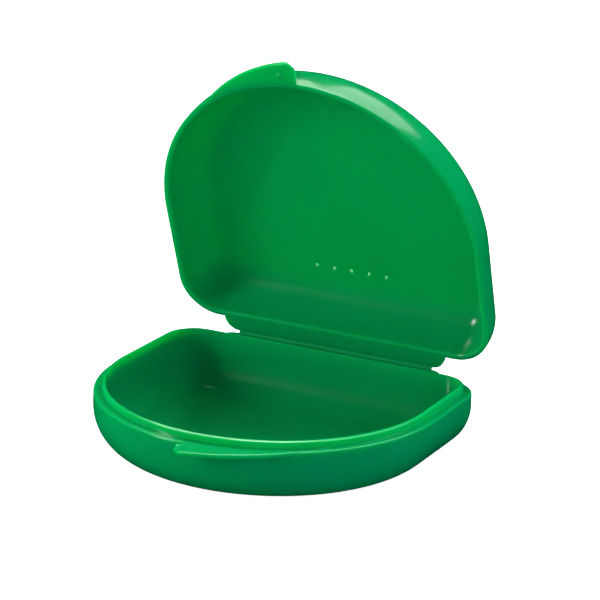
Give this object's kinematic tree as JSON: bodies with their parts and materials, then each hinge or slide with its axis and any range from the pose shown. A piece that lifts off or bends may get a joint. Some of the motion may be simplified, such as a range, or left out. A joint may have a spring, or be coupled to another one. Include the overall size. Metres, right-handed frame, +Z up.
{
  "type": "mouthguard case",
  "caption": "Clamshell case for a sports mouthguard: round-fronted tray and domed lid on a living hinge, with thumb tabs at the nose and vent holes in the lid.",
  "frame": {"origin": "centre of the tray's flat underside, on the surface it stands on", "axes": "+Z up, +Y towards the hinge, +X to the right seen from the nose"},
  "size_m": [0.0862, 0.0938, 0.0944],
  "materials": {
    "case_plastic": "smooth moulded polypropylene, glossy green",
    "hinge_web": "same green polypropylene, lighter where the thin web is stretched"
  },
  "bodies": {
    "base": {"base_tray": "case_plastic", "living_hinge": "hinge_web"},
    "lid": {"lid_shell": "case_plastic"}
  },
  "joints": [
    {"name": "lid_hinge", "type": "hinge", "parent": "base", "child": "lid", "pos_m": [-0.00075, 0.04145, 0.014], "axis": [-1, 0, 0], "range_deg": [-70.3, 109.7], "deforming": ["living_hinge"]}
  ]
}
